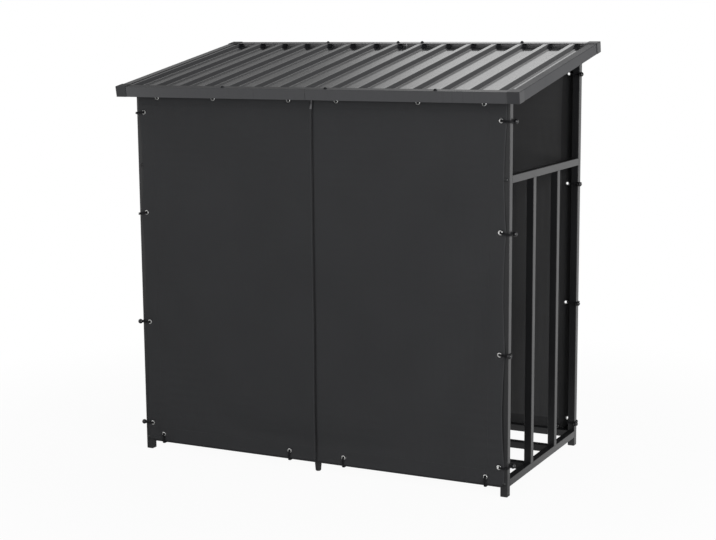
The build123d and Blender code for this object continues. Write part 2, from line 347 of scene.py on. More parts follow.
class Term:
    """A shader value that can stand in a sum."""

    def __init__(self, shader, socket):
        self.shader = shader
        self.socket = socket

    def maths(self, operation, first, second):
        settings = {"operation": operation}
        return self.shader.node("ShaderNodeMath", settings, {0: first, 1: second})

    def __add__(self, other):
        return self.maths("ADD", self, other)

    def __radd__(self, other):
        return self.maths("ADD", other, self)

    def __sub__(self, other):
        return self.maths("SUBTRACT", self, other)

    def __rsub__(self, other):
        return self.maths("SUBTRACT", other, self)

    def __mul__(self, other):
        return self.maths("MULTIPLY", self, other)

    def __rmul__(self, other):
        return self.maths("MULTIPLY", other, self)


class Shader:
    """A node tree, with one way to add any node to it."""

    def __init__(self, tree):
        self.tree = tree

    def feed(self, socket, value):
        """Link a term to a socket, or set the socket's own value."""
        if isinstance(value, Term):
            self.tree.links.new(value.socket, socket)
        else:
            socket.default_value = value

    def node(self, kind, settings=None, sockets=None, output=0):
        """Add a node: its settings first, then the values or links of its sockets."""
        node = self.tree.nodes.new(kind)
        for name, value in (settings or {}).items():
            setattr(node, name, value)
        for name, value in (sockets or {}).items():
            self.feed(node.inputs[name], value)
        return Term(self, node.outputs[output])

    def sine(self, value):
        return self.node("ShaderNodeMath", {"operation": "SINE"}, {0: value})

    def mix(self, factor, first, second):
        """A colour between two colours, each a tint or a term."""
        first, second = [tone if isinstance(tone, Term) else (*tone, 1) for tone in (first, second)]
        settings = {"data_type": "RGBA"}
        sockets = {0: factor, 6: first, 7: second}
        return self.node("ShaderNodeMix", settings, sockets, output=2)

    def ramp(self, value, low, high):
        """0 below low, 1 above high, and smooth between."""
        settings = {"interpolation_type": "SMOOTHSTEP"}
        sockets = {"Value": value, "From Min": low, "From Max": high}
        return self.node("ShaderNodeMapRange", settings, sockets)

    def axes(self, kind="Object"):
        """The three coordinates of a point, as separate terms."""
        point = self.node("ShaderNodeTexCoord", output=kind)
        parts = self.tree.nodes.new("ShaderNodeSeparateXYZ")
        self.feed(parts.inputs[0], point)
        return [Term(self, socket) for socket in parts.outputs]

    def noise(self, scale, detail=2.0, stretch=(1, 1, 1)):
        """Noise about one half, with so many lumps to the metre along each stretched axis."""
        point = self.node("ShaderNodeTexCoord", output="Object")
        settings = {"operation": "MULTIPLY"}
        place = self.node("ShaderNodeVectorMath", settings, {0: point, 1: stretch})
        sockets = {"Vector": place, "Scale": scale, "Detail": detail}
        return self.node("ShaderNodeTexNoise", sockets=sockets)


class Finish(Shader):
    """A material of one principled surface."""

    def __init__(self, name):
        self.material = bpy.data.materials.new(name)
        self.material.use_nodes = True
        super().__init__(self.material.node_tree)
        self.surface = self.tree.nodes["Principled BSDF"]
        FINISHES[name] = self.material

    def set(self, **sockets):
        """Feed the surface's sockets, named with underscores for spaces."""
        for name, value in sockets.items():
            self.feed(self.surface.inputs[self.label(name)], value)

    def label(self, name):
        """A socket's own name."""
        return name.replace("_", " ").title().replace("Ior", "IOR")

    def bump(self, height, distance, strength=1.0):
        """Raise the surface by a height in lengths of distance."""
        sockets = {"Height": height, "Distance": distance, "Strength": strength}
        self.set(normal=self.node("ShaderNodeBump", sockets=sockets))


def shaded(tint, factor):
    """A colour made darker or lighter."""
    return tuple(min(1.0, part * factor) for part in tint)


def powder_coat(name, tint, roughness, shine=0.5):
    """Satin powder coat: orange peel with faint clouding."""
    finish = Finish(name)
    cloud = finish.noise(scale=5, detail=3)
    peel = finish.noise(scale=700, detail=1)
    finish.set(
        base_color=finish.mix(cloud, shaded(tint, 0.88), shaded(tint, 1.12)),
        roughness=roughness + (cloud - 0.5) * 0.12,
        specular_ior_level=shine,
    )
    finish.bump(peel, distance=0.06 * MM, strength=0.5)


def roof_coat(name, tint, roughness):
    """Semi-gloss sheet paint, with streaks and a little dirt down the slope."""
    finish = Finish(name)
    streak = finish.noise(scale=9, detail=3, stretch=(6, 0.6, 0.6))
    cloud = finish.noise(scale=3, detail=2)
    peel = finish.noise(scale=400, detail=1)
    paint = finish.mix(streak, shaded(tint, 0.86), shaded(tint, 1.14))
    finish.set(
        base_color=paint,
        roughness=roughness + (streak - 0.5) * 0.10 + (cloud - 0.5) * 0.10,
        specular_ior_level=0.1,
        coat_weight=1.0,
        coat_roughness=0.07,
    )
    finish.bump(peel, distance=0.04 * MM, strength=0.4)
    return finish, paint


def eave_coat(name, tint, painted_sheen, roughness):
    """Sheet paint with a painted sheen: a lighter colour and no coat where it faces up."""
    finish, paint = roof_coat(name, tint, roughness)
    _, _, up = finish.axes("Normal")
    # Faces that point up get the painted sheen: a lighter colour and no coat
    top = finish.ramp(up, low=0.5, high=0.8)
    finish.set(base_color=finish.mix(top, paint, painted_sheen), coat_weight=1 - top)


def backed_coat_and_painted_light(name, tint, backing_and_painted_light, roughness):
    """Sheet paint, with a pale backing coat where a rear trim faces the roof sheets; its paleness is
    partly painted light in the shaded gap under the flange.
    """
    finish, paint = roof_coat(name, tint, roughness)
    _, along, _ = finish.axes("Normal")
    # Faces towards the roof get the pale backing coat, partly painted light
    backing_and_light_mask = 1 - finish.ramp(along, low=-0.8, high=-0.5)
    finish.set(base_color=finish.mix(backing_and_light_mask, paint, backing_and_painted_light))


def moulded(name, tint, roughness, shine=0.5):
    """Moulded plastic with a fine grain."""
    finish = Finish(name)
    grain = finish.noise(scale=1400, detail=2)
    cloud = finish.noise(scale=20, detail=2)
    finish.set(
        base_color=finish.mix(cloud, shaded(tint, 0.9), shaded(tint, 1.1)),
        roughness=roughness + (grain - 0.5) * 0.15,
        specular_ior_level=shine,
    )
    finish.bump(grain, distance=0.05 * MM, strength=0.5)


def coated_cloth(name, tint, roughness):
    """Coated woven cloth: a plain weave, with faint clouding and rubbed threads."""
    finish = Finish(name)
    across, _, up = finish.axes()
    threads = 2 * math.pi / WEAVE_PITCH
    weave = finish.sine(across * threads) * finish.sine(up * threads)
    cloud = finish.noise(scale=4, detail=4)
    rub = finish.noise(scale=60, detail=3, stretch=(1, 1, 0.35))
    blotch = cloud * 0.6 + rub * 0.25 + weave * 0.08 + 0.04
    finish.set(
        base_color=finish.mix(blotch, shaded(tint, 0.78), shaded(tint, 1.22)),
        roughness=roughness + (rub - 0.5) * 0.16,
        specular_ior_level=0.2,
    )
    finish.bump(weave * 0.5 + rub * 0.8, distance=0.16 * MM, strength=0.6)


def plated(name, tint, roughness):
    """Plated metal, a little dulled."""
    finish = Finish(name)
    dull = finish.noise(scale=260, detail=3)
    finish.set(
        base_color=finish.mix(dull, shaded(tint, 0.82), tint),
        roughness=roughness + (dull - 0.5) * 0.2,
        metallic=1.0,
    )
    finish.bump(dull, distance=0.03 * MM, strength=0.4)


def braid(name, tint, roughness):
    """Braided elastic: crossing threads round the cord."""
    finish = Finish(name)
    across, out, up = finish.axes()
    threads = 2 * math.pi / BRAID_PITCH
    plait = finish.sine((across + up) * threads) * finish.sine((out - up) * threads)
    finish.set(
        base_color=finish.mix(plait * 0.5 + 0.5, shaded(tint, 0.6), shaded(tint, 1.4)),
        roughness=roughness,
        specular_ior_level=0.2,
    )
    finish.bump(plait, distance=0.15 * MM, strength=0.7)


class Forms:
    """Points and faces of a piece, gathered from the forms that repeat on it."""

    def __init__(self):
        self.points = []
        self.faces = []

    def add(self, points, faces):
        start = len(self.points)
        self.points += [tuple(point) for point in points]
        self.faces += [tuple(start + corner for corner in face) for face in faces]

    def revolve(self, profile, place, steps, ring=False):
        """Turn a profile of radius and height about the place's own z axis.

        A profile that starts and ends on the axis closes itself; a ring joins end to start.
        """
        points = []
        for step in range(steps):
            turn = 2 * math.pi * step / steps
            for radius, height in profile:
                local = Vector((radius * math.cos(turn), radius * math.sin(turn), height))
                points.append(place @ local)
        size = len(profile)
        faces = []
        for step in range(steps):
            here = step * size
            there = (step + 1) % steps * size
            for index in range(size if ring else size - 1):
                after = (index + 1) % size
                faces.append((here + index, there + index, there + after, here + after))
        self.add(points, faces)

    def loop(self, path, radius, sides):
        """A round cord along a closed path."""
        count = len(path)
        points = []
        lift = None
        for index, here in enumerate(path):
            along = (path[(index + 1) % count] - path[index - 1]).normalized()
            if lift is None:
                lift = along.orthogonal()
            lift = (lift - along * lift.dot(along)).normalized()
            side = along.cross(lift)
            for step in range(sides):
                turn = 2 * math.pi * step / sides
                points.append(here + (lift * math.cos(turn) + side * math.sin(turn)) * radius)
        faces = []
        for index in range(count):
            here = index * sides
            there = (index + 1) % count * sides
            for step in range(sides):
                after = (step + 1) % sides
                faces.append((here + step, here + after, there + after, there + step))
        self.add(points, faces)

    def grain(self, middle, along, out, run, width, sides=5):
        """A short rounded bar, such as a stitch or a tooth."""
        side = along.cross(out).normalized()
        points = []
        for place, size in GRAIN_RINGS:
            for step in range(sides):
                turn = 2 * math.pi * step / sides
                spoke = (side * math.cos(turn) + out * math.sin(turn)) * (size * width / 2)
                points.append(middle + along * (place * run) + spoke)
        last = len(GRAIN_RINGS) - 1
        faces = [tuple(range(sides)), tuple(reversed(range(last * sides, (last + 1) * sides)))]
        for ring in range(last):
            for step in range(sides):
                after = (step + 1) % sides
                low = ring * sides
                high = low + sides
                faces.append((low + step, high + step, high + after, low + after))
        self.add(points, faces)

    def mesh(self, mesh, place):
        """Add a whole mesh at a place."""
        points = [place @ vertex.co for vertex in mesh.vertices]
        self.add(points, [face.vertices for face in mesh.polygons])

    def piece(self, name, finish, slot=None):
        """Make the piece, with its normals outward, and let it ride on the store."""
        mesh = bpy.data.meshes.new(name)
        mesh.from_pydata(self.points, [], self.faces)
        body = bmesh.new()
        body.from_mesh(mesh)
        bmesh.ops.remove_doubles(body, verts=body.verts, dist=WELD)
        bmesh.ops.recalc_face_normals(body, faces=body.faces)
        body.to_mesh(mesh)
        body.free()
        return settle(name, mesh, [finish])


def settle(name, mesh, finishes):
    """Put a mesh in the scene as a piece with its finishes, and let it ride on the store."""
    for finish in finishes:
        mesh.materials.append(FINISHES[finish])
    mesh.shade_smooth()
    mesh.set_sharp_from_angle(angle=SHARP_ANGLE)
    piece = bpy.data.objects.new(name, mesh)
    bpy.context.scene.collection.objects.link(piece)
    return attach(piece, BODY)


def facing(point, out, up=Vector((0, 0, 1))):
    """A place at a point, with its own z axis pointing out and its y axis upward."""
    right = up.cross(out).normalized()
    turned = Matrix((right, out.cross(right), out)).transposed().to_4x4()
    return Matrix.Translation(point) @ turned


def rounded(corners, radius, steps=6):
    """A closed path through corners, each cut by a smooth bend."""
    path = []
    for index, corner in enumerate(corners):
        before = (corners[index - 1] - corner).normalized() * radius
        after = (corners[(index + 1) % len(corners)] - corner).normalized() * radius
        for step in range(steps + 1):
            part = step / steps
            path.append(corner + before * (1 - part) ** 2 + after * part**2)
    return path


def plate(outlines, thickness, rounding):
    """A flat plate with rounded edges, from an outline and the outlines of its holes."""
    curve = bpy.data.curves.new("plate", "CURVE")
    curve.dimensions = "2D"
    curve.fill_mode = "BOTH"
    curve.extrude = thickness / 2 - rounding
    curve.bevel_depth = rounding
    curve.bevel_resolution = 2
    curve.offset = -rounding
    for outline in outlines:
        spline = curve.splines.new("POLY")
        spline.points.add(len(outline) - 1)
        spline.use_cyclic_u = True
        for point, (x, y) in zip(spline.points, outline):
            point.co = (x, y, 0, 1)
    holder = bpy.data.objects.new("plate", curve)
    mesh = bpy.data.meshes.new_from_object(holder)
    bpy.data.objects.remove(holder)
    bpy.data.curves.remove(curve)
    return mesh


def spaced(breaks, step):
    """A line of places through every break, with no step longer than the one given."""
    line = [breaks[0]]
    for start, end in zip(breaks, breaks[1:]):
        count = math.ceil(round((end - start) / step, 6))
        line += [start + (end - start) * (index + 1) / count for index in range(count)]
    return np.array(line)


def halved(grid):
    """A grid with a smooth row between each two of its rows."""
    padded = np.concatenate([2 * grid[:1] - grid[1:2], grid, 2 * grid[-1:] - grid[-2:-1]])
    middles = (9 * (padded[1:-2] + padded[2:-1]) - padded[:-3] - padded[3:]) / 16
    fine = np.empty((2 * len(grid) - 1, *grid.shape[1:]))
    fine[::2] = grid
    fine[1::2] = middles
    return fine


def smooth(value, low, high):
    """0 below low, 1 above high, and smooth between."""
    part = np.clip((value - low) / (high - low), 0, 1)
    return part * part * (3 - 2 * part)


class Cover:
    """The cloth of one long side: its grid of points, and the places of its eyelets."""

    def __init__(self, side, nodes, sizes, fittings, zip_edge):
        boxes = [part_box(node) for node in nodes]
        base_low, base_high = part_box(f"{side}_base_rail")
        rail_low, rail_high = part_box(f"{side}_top_rail")
        post_low, post_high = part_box(f"{side}_right_post")
        self.side = side
        self.sizes = sizes
        self.out = -1 if side == "front" else 1
        self.face = post_low.y if self.out < 0 else post_high.y
        self.back = post_high.y if self.out < 0 else post_low.y
        self.post_edges = (post_low.x, post_high.x)
        self.rail_span = (rail_low.z, rail_high.z)
        self.base_span = (base_low.z, base_high.z)
        self.reach = max(high.x for _, high in boxes)
        self.foot = min(low.z for low, _ in boxes)
        self.head = max(high.z for _, high in boxes)
        self.clear = base_high.x
        self.surface = self.face + self.out * (sizes.hem_thickness + CLEARANCE)
        gap = fittings.place_bore / 2
        side_shares = sizes.front_shares if side == "front" else sizes.rear_shares
        self.side_z = [self.foot + part * (self.head - self.foot) for part in side_shares]
        self.side_x = [self.clear - gap for _ in side_shares]
        if side == "rear":
            self.side_x = [x - inset for x, inset in zip(self.side_x, fittings.rear_insets)]
        self.top_z = rail_low.z - gap
        self.bottom_z = base_high.z + gap
        self.eyelets = self.eyelet_places()
        self.lay_grid(zip_edge)

    def eyelet_places(self):
        """Each eyelet as its place along the store, its height and what it is tied to."""
        places = []
        for hand in (-1, 1):
            places += [(hand * x, z, "post") for x, z in zip(self.side_x, self.side_z)]
            for part in self.sizes.top_shares:
                places.append((hand * part * self.reach, self.top_z, "rail"))
            for part in self.sizes.bottom_shares:
                places.append((hand * part * self.reach, self.bottom_z, "base"))
        return places

    def lay_grid(self, zip_edge):
        """Lay the flat cloth out on a grid with a line through every eyelet."""
        across = {x for x, _, _ in self.eyelets} | {-self.reach, self.reach, 0.0}
        if zip_edge:
            across |= {-zip_edge, zip_edge}
        up = {z for _, z, _ in self.eyelets} | {self.foot, self.head}
        self.xs = spaced(sorted(across), self.sizes.grid_step)
        self.zs = spaced(sorted(up), self.sizes.grid_step)
        x, z = np.meshgrid(self.xs, self.zs)
        bay = np.zeros_like(self.zs)
        for low, high in zip(self.side_z, self.side_z[1:]):
            part = np.clip((self.zs - low) / (high - low), 0, 1)
            bay = np.maximum(bay, 4 * part * (1 - part))
        fade = 1 - smooth(self.reach - abs(x), 0, self.sizes.scallop_fade)
        drawn = x - np.sign(x) * self.sizes.scallop * bay[:, None] * fade
        pillows = np.sin(9 * x + 2.1) * np.sin(7 * z + 0.6)
        slants = np.sin(23 * x - 5 * z)
        wave = pillows + 0.7 * slants
        free = self.depth_allowed(x, z)
        y = self.surface + self.out * self.sizes.billow * wave * free
        self.points = np.stack([drawn, y, z], axis=2)

    def depth_allowed(self, x, z):
        """0 over the tubes and 1 well clear of them."""
        sides = self.clear - abs(x)
        ends = np.minimum(z - self.base_span[1], self.rail_span[0] - z)
        return smooth(np.minimum(sides, ends), 0, FREE_RUN)

    def hang(self):
        """Let the cloth settle on its ties."""
        rows, columns = self.points.shape[:2]
        index = np.arange(rows * columns).reshape(rows, columns)
        corners = (index[:-1, :-1], index[:-1, 1:], index[1:, 1:], index[1:, :-1])
        faces = np.stack(corners, axis=2).reshape(-1, 4)
        mesh = bpy.data.meshes.new("cloth_trial")
        mesh.from_pydata(self.points.reshape(-1, 3).tolist(), [], faces.tolist())
        trial = bpy.data.objects.new("cloth_trial", mesh)
        scene = bpy.context.scene
        scene.collection.objects.link(trial)
        pins = trial.vertex_groups.new(name="ties")
        pins.add([int(index[self.cell(x, z)]) for x, z, _ in self.eyelets], 1.0, "REPLACE")
        cloth = trial.modifiers.new("hang", "CLOTH")
        cloth.settings.vertex_group_mass = pins.name
        for name, value in CLOTH_SETTINGS.items():
            setattr(cloth.settings, name, value)
        cloth.settings.shrink_min = -self.sizes.slack
        cloth.collision_settings.use_collision = False
        cloth.point_cache.frame_start = 1
        cloth.point_cache.frame_end = self.sizes.hang_frames
        for number in range(1, self.sizes.hang_frames + 1):
            scene.frame_set(number)
        held = trial.evaluated_get(bpy.context.evaluated_depsgraph_get())
        flat = np.empty(rows * columns * 3)
        held.data.vertices.foreach_get("co", flat)
        self.points = flat.reshape(rows, columns, 3)
        scene.frame_set(1)
        bpy.data.objects.remove(trial)
        bpy.data.meshes.remove(mesh)

    def rest_on_tubes(self):
        """Keep the cloth outside the tubes, and let it sink only so far between them."""
        x, z = np.meshgrid(self.xs, self.zs)
        proud = (self.points[:, :, 1] - self.surface) * self.out
        sink = self.sizes.give * self.depth_allowed(x, z)
        self.points[:, :, 1] = self.surface + self.out * np.maximum(proud, -sink)

    def refine(self):
        """Halve the steps of the grid, and work out which way it faces."""
        self.xs = halved(self.xs)
        self.zs = halved(self.zs)
        fine = halved(halved(self.points).swapaxes(0, 1)).swapaxes(0, 1)
        self.points = fine
        along = np.gradient(fine, axis=1)
        upward = np.gradient(fine, axis=0)
        normal = np.cross(along, upward) * -self.out
        self.normals = normal / np.linalg.norm(normal, axis=2, keepdims=True)

    def cell(self, x, z):
        """Row and column of the grid's point nearest a place on the flat cloth."""
        return int(abs(self.zs - z).argmin()), int(abs(self.xs - x).argmin())

    def at(self, x, z):
        """A point on the cloth's outer face, and the way out from it."""
        row = np.interp(z, self.zs, np.arange(len(self.zs)))
        column = np.interp(x, self.xs, np.arange(len(self.xs)))
        low = min(int(row), len(self.zs) - 2)
        left = min(int(column), len(self.xs) - 2)
        up = row - low
        right = column - left
        found = []
        for grid in (self.points, self.normals):
            bottom = grid[low, left] * (1 - right) + grid[low, left + 1] * right
            top = grid[low + 1, left] * (1 - right) + grid[low + 1, left + 1] * right
            found.append(Vector(bottom * (1 - up) + top * up))
        return found[0], found[1].normalized()

    def ring_holes(self, radius):
        """Draw the grid in to a round hole at each eyelet, and return the holes' middles."""
        middles = set()
        for x, z, _ in self.eyelets:
            row, column = self.cell(x, z)
            middle = self.points[row, column].copy()
            for up in (-1, 0, 1):
                for right in (-1, 0, 1):
                    spoke = self.points[row + up, column + right] - middle
                    reach = np.linalg.norm(spoke)
                    if reach > 0:
                        self.points[row + up, column + right] = middle + spoke * radius / reach
            middles.add((row, column))
        return middles

    def hem_share(self, x, z):
        """1 on the hem and 0 on the single cloth."""
        side = self.reach - abs(x) <= self.sizes.side_hem
        end = min(z - self.foot, self.head - z) <= self.sizes.end_hem
        return 1.0 if side or end else 0.0

    def panel(self, name, left, right, holes, node):
        """A panel of the cloth between two columns, doubled at its hems."""
        numbers = {}
        points = []
        faces = []
        slots = []

        def number(row, column):
            if (row, column) not in numbers:
                numbers[row, column] = len(points)
                points.append(tuple(self.points[row, column]))
            return numbers[row, column]

        for row in range(len(self.zs) - 1):
            for column in range(left, right):
                corners = [(row, column), (row, column + 1), (row + 1, column + 1), (row + 1, column)]
                if holes.intersection(corners):
                    continue
                if self.out > 0:
                    corners.reverse()
                faces.append([number(*corner) for corner in corners])
                x = (self.xs[column] + self.xs[column + 1]) / 2
                z = (self.zs[row] + self.zs[row + 1]) / 2
                slots.append(0 if self.hem_share(x, z) else 2)
        mesh = bpy.data.meshes.new(name)
        mesh.from_pydata(points, [], faces)
        mesh.polygons.foreach_set("material_index", slots)
        # Inner faces: painted shade on the hems, painted light on the single cloth
        finishes = ["cloth", "hem_back_painted_shade", "cloth", "cloth_back_painted_light"]
        piece = settle(name, mesh, finishes)
        hem = piece.vertex_groups.new(name="hem")
        for (row, column), index in numbers.items():
            hem.add([index], self.hem_share(self.xs[column], self.zs[row]), "REPLACE")
        fold = piece.modifiers.new("fold", "SOLIDIFY")
        fold.thickness = self.sizes.hem_thickness
        fold.offset = -1
        fold.vertex_group = hem.name
        fold.thickness_vertex_group = self.sizes.thickness / self.sizes.hem_thickness
        fold.material_offset = 1
        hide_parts(node)
        return piece

    def sew(self, forms, start, end, stitches, keep_clear):
        """A row of stitches between two places on the flat cloth, missing out the eyelets."""
        run = math.hypot(end[0] - start[0], end[1] - start[1])
        count = int(run / stitches.pitch)
        for step in range(count):
            part = (step + 0.5) / count
            x = start[0] + (end[0] - start[0]) * part
            z = start[1] + (end[1] - start[1]) * part
            if any(math.hypot(x - a, z - b) < keep_clear for a, b, _ in self.eyelets):
                continue
            here, out = self.at(x, z)
            ahead = (end[0] - start[0]) / run * MM
            above = (end[1] - start[1]) / run * MM
            along = (self.at(x + ahead, z + above)[0] - self.at(x - ahead, z - above)[0]).normalized()
            forms.grain(here + out * (0.2 * stitches.thread), along, out, stitches.run, stitches.thread)


def hung(side):
    """The cover of a side, which has to be hung first."""
    if side not in COVERS:
        raise RuntimeError(f"hang the covers before dressing the {side} one")
    return COVERS[side]


class LOGSTORE_OT_finishes(bpy.types.Operator):
    """Make the finishes and paint the tubes, the roof, the caps and the feet"""

    bl_idname = "logstore.finishes"
    bl_label = "Finishes"

    def execute(self, context):
        tints = context.scene.log_store_colours
        powder_coat("frame_paint", tints.frame_paint, roughness=0.36, shine=0.42)
        roof_coat("roof_paint", tints.roof_paint, roughness=0.30)
        powder_coat("trim_paint", tints.roof_paint, roughness=0.42, shine=0.22)
        eave_coat("eave_paint_painted_sheen", tints.roof_paint, tints.painted_sheen, roughness=0.30)
        backed_coat_and_painted_light("backed_paint_and_painted_light", tints.roof_paint, tints.trim_backing_and_painted_light, roughness=0.30)
        moulded("cap_plastic", tints.cap_plastic, roughness=0.40, shine=0.30)
        moulded("foot_plastic", tints.foot_plastic, roughness=0.55)
        coated_cloth("cloth", tints.cloth, roughness=0.62)
        coated_cloth("cloth_back_painted_light", tints.cloth_back_painted_light, roughness=0.75)
        coated_cloth("hem_back_painted_shade", tints.hem_back_painted_shade, roughness=0.75)
        moulded("thread", tints.thread, roughness=0.7)
        coated_cloth("zip_tape", tints.thread, roughness=0.75)
        moulded("zip_teeth", tints.zip_teeth, roughness=0.35)
        plated("zip_metal", tints.zip_metal, roughness=0.5)
        plated("eyelet_metal", tints.eyelet_metal, roughness=0.30)
        braid("elastic", tints.elastic, roughness=0.6)
        moulded("ball_plastic", tints.ball_plastic, roughness=0.28)
        plated("screw_metal", tints.screw_metal, roughness=0.42)
        finish_of = {row["node"]: row["material_slot"] for row in frame["record"]["subparts"]}
        for name, node in frame["nodes"].items():
            finish = TRIM_FINISHES.get(name, finish_of[name])
            node.data.materials.clear()
            node.data.materials.append(FINISHES.get(finish, FINISHES["cloth"]))
        return {"FINISHED"}


class LOGSTORE_OT_covers(bpy.types.Operator):
    """Hang the front cover's two panels and the rear cover, with their stitching"""

    bl_idname = "logstore.covers"
    bl_label = "Covers"

    def execute(self, context):
        scene = context.scene
        sizes = scene.log_store_cover
        fittings = scene.log_store_fittings
        half_tape = scene.log_store_zip.tape / 2
        layout = {
            "front": (("front_left_cover", "front_right_cover"), half_tape),
            "rear": (("rear_cover",), 0.0),
        }
        for side, (nodes, zip_edge) in layout.items():
            cover = Cover(side, nodes, sizes, fittings, zip_edge)
            cover.hang()
            cover.rest_on_tubes()
            cover.refine()
            COVERS[side] = cover
            holes = cover.ring_holes(fittings.eyelet_bore / 2 + fittings.hole_gap)
            last = len(cover.xs) - 1
            if zip_edge:
                left_edge = cover.cell(-zip_edge, 0)[1]
                right_edge = cover.cell(zip_edge, 0)[1]
                spans = ((0, left_edge), (right_edge, last))
            else:
                spans = ((0, last),)
            for node, (left, right) in zip(nodes, spans):
                name = node.replace("_cover", "_cloth")
                piece = cover.panel(name, left, right, holes, node)
                sewing = self.stitching(scene, cover, name, cover.xs[left], cover.xs[right])
                flat = (
                    cover.xs[right] - cover.xs[left] + sizes.side_hem * (1 if zip_edge else 2),
                    cover.head - cover.foot + 2 * sizes.end_hem,
                )
                hands = [hand for hand in ("left", "right") if hand in node or not zip_edge]
                rests = [f"{side}_top_rail", f"{side}_base_rail"]
                rests += [f"{side}_{hand}_post" for hand in hands]
        return {"FINISHED"}

    def stitching(self, scene, cover, name, left, right):
        """The rows of stitches on one panel's outer face."""
        stitches = scene.log_store_stitches
        sizes = scene.log_store_cover
        clear = scene.log_store_fittings.eyelet / 2 + stitches.run / 2
        low = cover.foot + sizes.end_hem - stitches.inset
        high = cover.head - sizes.end_hem + stitches.inset
        side = cover.reach - sizes.side_hem + stitches.inset
        forms = Forms()
        for height in (low, high):
            cover.sew(forms, (left, height), (right, height), stitches, clear)
        for place in (-side, side):
            if left < place < right:
                cover.sew(forms, (place, cover.foot), (place, cover.head), stitches, clear)
        for edge, hand in ((left, 1), (right, -1)):
            if abs(edge) < sizes.side_hem:
                place = edge + hand * stitches.zip_inset
                cover.sew(forms, (place, cover.foot), (place, cover.head), stitches, clear)
        return forms.piece(f"{name}_stitching", "thread", "cover_cloth")


class LOGSTORE_OT_zip(bpy.types.Operator):
    """Sew in the zip: tape, teeth, slider and pull"""

    bl_idname = "logstore.zip"
    bl_label = "Zip"

    def execute(self, context):
        sizes = context.scene.log_store_zip
        cover = hung("front")
        self.tape(cover, sizes)
        self.teeth(cover, sizes)
        self.slider(cover, sizes)
        return {"FINISHED"}

    def tape(self, cover, sizes):
        """A strip of woven tape behind the gap between the panels."""
        forms = Forms()
        places = [part * sizes.tape / 2 for part in (-1.6, -1, -0.5, 0, 0.5, 1, 1.6)]
        points = []
        for depth in (sizes.sink, sizes.sink + sizes.tape_thickness):
            for z in cover.zs:
                for x in places:
                    point, out = cover.at(x, z)
                    under = cover.sizes.hem_thickness if abs(x) > sizes.tape / 2 else 0
                    points.append(point - out * (depth + under))
        rows = len(cover.zs)
        width = len(places)
        layer = rows * width
        faces = []
        for row in range(rows - 1):
            for column in range(width - 1):
                here = row * width + column
                quad = (here, here + 1, here + width + 1, here + width)
                faces.append(quad)
                faces.append(tuple(layer + corner for corner in reversed(quad)))
            for column in (0, width - 1):
                here = row * width + column
                faces.append((here, here + width, layer + here + width, layer + here))
        for row in (0, rows - 1):
            for column in range(width - 1):
                here = row * width + column
                faces.append((here, layer + here, layer + here + 1, here + 1))
        forms.add(points, faces)
        piece = forms.piece("front_zip_tape", "zip_tape", "zip_plastic")
        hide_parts("front_zip")

    def teeth(self, cover, sizes):
        """Two rows of teeth that mesh along the middle, up to the slider."""
        forms = Forms()
        low = cover.foot + sizes.end_share * (cover.head - cover.foot)
        high = cover.head - sizes.slider_drop
        count = int((high - low) / sizes.tooth_pitch)
        aside = 2 * MM
        for index in range(2 * count):
            z = low + (high - low) * index / (2 * count)
            hand = 1 if index % 2 else -1
            point, out = cover.at(0, z)
            right, _ = cover.at(aside, z)
            along = (right - point).normalized()
            middle = point + along * (hand * sizes.tooth_length * 0.2)
            middle += out * (sizes.tooth_lift - sizes.sink)
            forms.grain(middle, along, out, sizes.tooth_length, sizes.tooth_width, sides=6)
        forms.piece("front_zip_teeth", "zip_teeth", "zip_plastic")

    def slider(self, cover, sizes):
        """The slider's body with its bridge, and the pull that hangs from it."""
        top = cover.head - sizes.slider_drop
        middle, out = cover.at(0, top - sizes.slider_length / 2)
        place = facing(middle, out)
        half_length = sizes.slider_length / 2
        half_width = sizes.slider_width / 2
        outline = rounded(
            [
                Vector((-half_width * 0.7, -half_length)),
                Vector((half_width * 0.7, -half_length)),
                Vector((half_width, half_length * 0.3)),
                Vector((half_width * 0.6, half_length)),
                Vector((-half_width * 0.6, half_length)),
                Vector((-half_width, half_length * 0.3)),
            ],
            half_width * 0.3,
        )
        body = plate([outline], sizes.slider_height * 0.5, sizes.slider_edge)
        forms = Forms()
        lift = sizes.slider_height * 0.6
        forms.mesh(body, place @ Matrix.Translation((0, 0, lift)))
        crown = sizes.slider_height * 0.85
        ridge = crown + sizes.bridge_rise
        foot_half = half_length * 0.7
        ridge_half = half_length * 0.55
        bridge = rounded(
            [
                Vector((0, -foot_half, crown)),
                Vector((0, foot_half, crown)),
                Vector((0, ridge_half, ridge)),
                Vector((0, -ridge_half, ridge)),
            ],
            sizes.bridge_bend,
        )
        forms.loop([place @ point for point in bridge], sizes.bridge_wire / 2, sides=8)
        forms.piece("front_zip_slider", "zip_metal", "zip_plastic")
        self.pull(place, sizes, -ridge_half, crown + sizes.pull_lift)

    def pull(self, place, sizes, drop, lift):
        """A flat pull with a slot at its head, lying on the teeth."""
        half = sizes.pull_width / 2
        head_half = half * 0.6
        corner = half * 0.45
        outline = rounded(
            [
                Vector((-head_half, 0)),
                Vector((head_half, 0)),
                Vector((half, -sizes.pull_length)),
                Vector((-half, -sizes.pull_length)),
            ],
            corner,
        )
        slot_half = half * 0.42
        slot = rounded(
            [
                Vector((-slot_half, -sizes.slot_head)),
                Vector((slot_half, -sizes.slot_head)),
                Vector((slot_half, -sizes.slot_foot)),
                Vector((-slot_half, -sizes.slot_foot)),
            ],
            slot_half * 0.6,
        )
        body = plate([outline, slot], sizes.pull_thickness, sizes.pull_edge)
        hinge = Matrix.Translation((0, drop + sizes.pull_rise, lift))
        swing = Matrix.Rotation(-sizes.pull_swing, 4, "Z")
        lean = Matrix.Rotation(sizes.pull_lean, 4, "X")
        hang = hinge @ swing @ lean
        forms = Forms()
        forms.mesh(body, place @ hang)
        forms.piece("front_zip_pull", "zip_metal", "zip_plastic")


